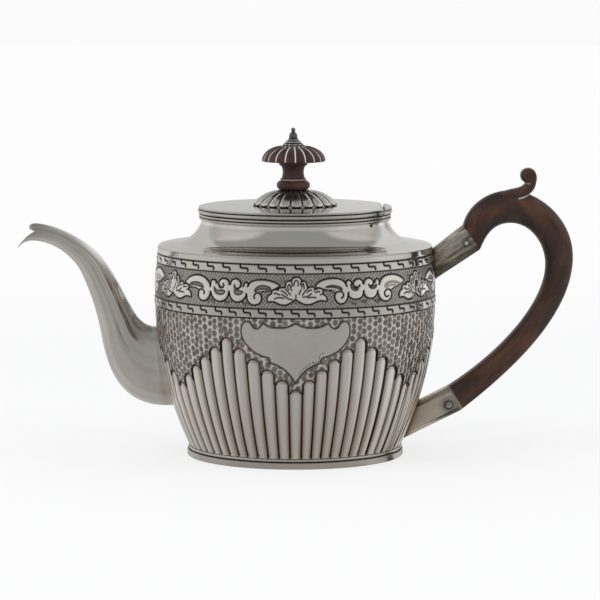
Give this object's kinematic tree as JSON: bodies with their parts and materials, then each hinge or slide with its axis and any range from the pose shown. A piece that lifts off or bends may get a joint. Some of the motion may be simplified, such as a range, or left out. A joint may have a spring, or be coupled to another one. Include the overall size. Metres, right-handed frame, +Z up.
{
  "type": "silver teapot",
  "caption": "Round silver teapot with a curved spout, hinged lid with a turned wooden knob, and a looped wooden handle pinned in two sockets.",
  "frame": {"origin": "midway between the tip of the spout and the back of the handle, on the axis of the round body, at the level of the table", "axes": "+X from the body towards the handle (the spout points to -X), +Y away from the front, +Z up along the axis of the body"},
  "size_m": [0.27, 0.137, 0.1591],
  "materials": {
    "silver": "polished silver with light handling marks",
    "silver_dark": "toned silver, dark in the hollows",
    "wood_handle": "dark polished hardwood",
    "wood_knob": "dark turned hardwood with pale residue in the grooves"
  },
  "bodies": {
    "pot": {"body_wall": "silver", "base_plate": "silver", "foot_ring": "silver", "shoulder_neck": "silver", "neck_rim": "silver", "hinge_block": "silver", "hinge_knuckles_body": "silver", "hinge_pin": "silver", "spout": "silver", "upper_socket": "silver", "lower_socket": "silver", "handle": "wood_handle", "upper_handle_pin": "silver_dark", "lower_handle_pin": "silver_dark"},
    "lid": {"lid_plate": "silver", "lid_rim": "silver", "lid_bezel": "silver", "hinge_knuckles_lid": "silver", "finial_calyx": "silver", "knob_ring": "wood_knob", "knob_stem": "wood_knob", "knob_cap": "wood_knob", "finial_rosette": "silver_dark", "finial_bolt": "silver_dark", "finial_washer": "silver", "finial_nut": "silver"}
  },
  "joints": [
    {"name": "lid_hinge", "type": "hinge", "parent": "pot", "child": "lid", "pos_m": [0.041, 0, 0.11925], "axis": [0, 1, 0], "range_deg": [0, 100]}
  ]
}
